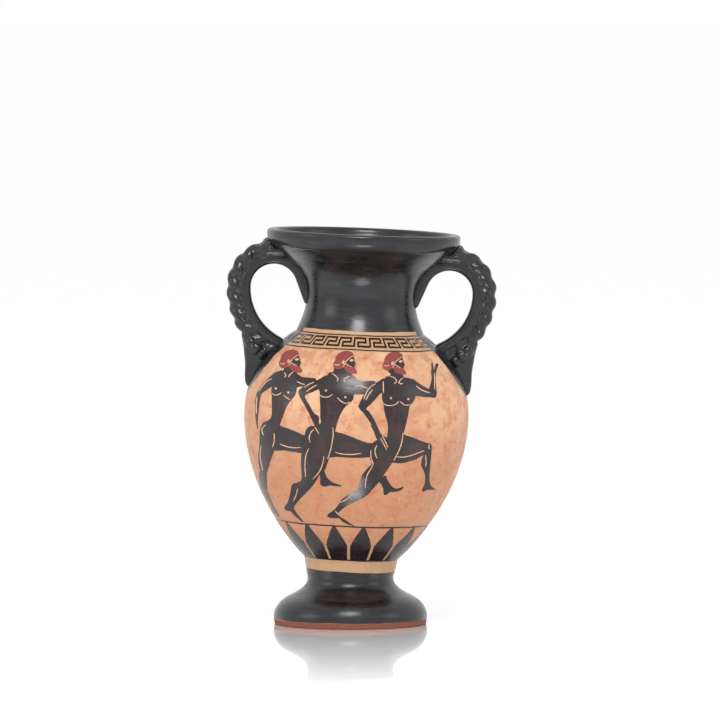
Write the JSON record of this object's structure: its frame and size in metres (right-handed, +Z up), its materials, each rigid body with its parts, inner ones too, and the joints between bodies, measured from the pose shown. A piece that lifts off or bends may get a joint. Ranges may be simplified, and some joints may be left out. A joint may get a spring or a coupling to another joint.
{
  "type": "amphora",
  "caption": "Neck amphora in fired clay with a wide lip, an ovoid painted belly, a disc foot and twisted rope handles standing clear of the neck.",
  "frame": {"origin": "middle of the foot's flat resting face, on the foot's axis", "axes": "+Z up from the resting face; the handles lie along X, with handle_right towards +X; the painted front faces -Y"},
  "size_m": [0.1035, 0.086, 0.1513],
  "materials": {
    "painted_clay": "orange clay burnished to a soft sheen, with painted bands and figures",
    "black_gloss": "satin to glossy black slip with fine brush and wear marks"
  },
  "bodies": {
    "root": {"foot": "black_gloss", "body": "painted_clay", "neck": "black_gloss", "lip": "black_gloss", "handle_left_strap": "black_gloss", "handle_left_strand_a": "black_gloss", "handle_left_strand_b": "black_gloss", "handle_left_upper_root": "black_gloss", "handle_left_lower_root": "black_gloss", "handle_right_strap": "black_gloss", "handle_right_strand_a": "black_gloss", "handle_right_strand_b": "black_gloss", "handle_right_upper_root": "black_gloss", "handle_right_lower_root": "black_gloss"}
  },
  "joints": []
}
